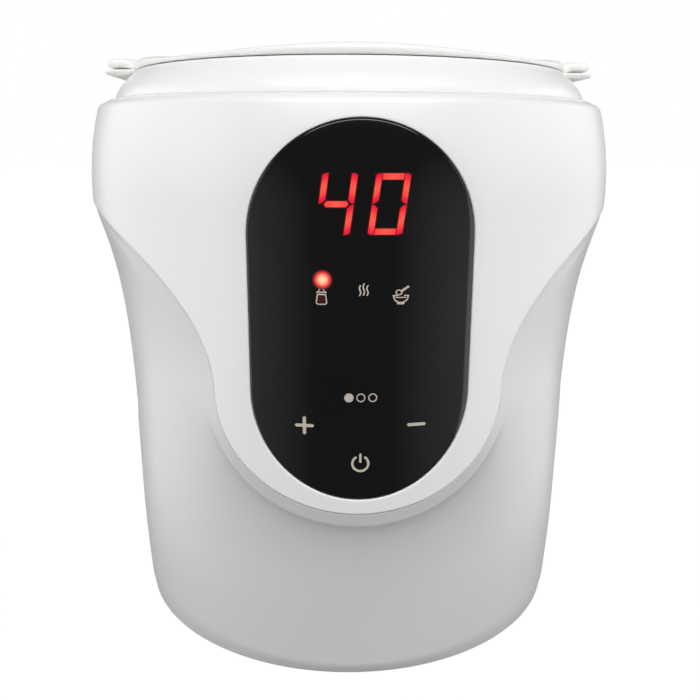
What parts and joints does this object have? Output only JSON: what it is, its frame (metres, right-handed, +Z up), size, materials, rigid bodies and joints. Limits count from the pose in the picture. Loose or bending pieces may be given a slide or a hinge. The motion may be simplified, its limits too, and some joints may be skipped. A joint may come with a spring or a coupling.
{
  "type": "bottle warmer",
  "caption": "Round countertop warmer for baby bottles and food jars: lid, lift-out basket, heated water chamber and a black front display with touch keys.",
  "frame": {"origin": "middle of the object on the surface that its feet stand on", "axes": "+Z up, the display faces -Y, and the tabs of the lid and the basket point along +X and -X"},
  "size_m": [0.132, 0.132, 0.1425],
  "materials": {
    "white_gloss": "gloss",
    "white_satin": "satin",
    "milky_pp": "translucent satin",
    "black_gloss": "gloss",
    "black_plastic": "matte",
    "grey_plastic": "matte",
    "aluminium": "satin",
    "zinc_steel": "zinc plated",
    "heater_sheath": "oxidised",
    "brass": "plain",
    "silicone": "matte",
    "foot_rubber": "matte",
    "board_green": "solder mask",
    "led_red": "lit from inside",
    "lead_white": "silicone braid",
    "lead_black": "matte",
    "lead_green": "green and yellow",
    "flat_cable": "ribbed",
    "ceramic": "glazed",
    "coil_yellow": "tape",
    "relay_blue": "moulded",
    "cap_blue": "sleeve",
    "terminal_green": "moulded"
  },
  "bodies": {
    "housing": {"collar_ring": "white_gloss", "upper_housing": "white_gloss", "lower_housing": "white_satin", "base_plate": "white_satin", "rubber_feet": "foot_rubber", "base_screws": "zinc_steel", "chassis": "grey_plastic", "collar_screws": "zinc_steel", "water_chamber": "aluminium", "chamber_seal": "silicone", "heater_plate": "aluminium", "heating_element": "heater_sheath", "heater_terminals": "brass", "heater_stud": "zinc_steel", "heater_clamp": "zinc_steel", "heater_nuts": "zinc_steel", "heat_shield": "aluminium", "thermostat": "black_plastic", "thermal_fuse": "ceramic", "temperature_sensor": "black_plastic", "sensor_spring": "zinc_steel", "heater_leads": "lead_white", "sensor_lead": "lead_black", "earth_lead": "lead_green", "display_window": "black_gloss", "display_carrier": "black_plastic", "carrier_screws": "zinc_steel", "display_board": "board_green", "led_digits": "led_red", "indicator_leds": "led_red", "light_guide": "black_plastic", "touch_springs": "brass", "ribbon_cable": "flat_cable", "power_board": "board_green", "power_board_screws": "zinc_steel", "transformer": "coil_yellow", "relay": "relay_blue", "capacitor": "cap_blue", "terminal_block": "terminal_green", "buzzer": "black_plastic", "cord_gland": "white_satin", "cord_clamp": "black_plastic", "cord_clamp_screws": "zinc_steel"},
    "basket": {"basket": "milky_pp"},
    "lid": {"lid": "milky_pp"}
  },
  "joints": [
    {"name": "basket_lift", "type": "slide", "parent": "housing", "child": "basket", "axis": [0, 0, 1], "range_m": [0, 0.1]},
    {"name": "lid_lift", "type": "slide", "parent": "basket", "child": "lid", "axis": [0, 0, 1], "range_m": [0, 0.04]}
  ]
}
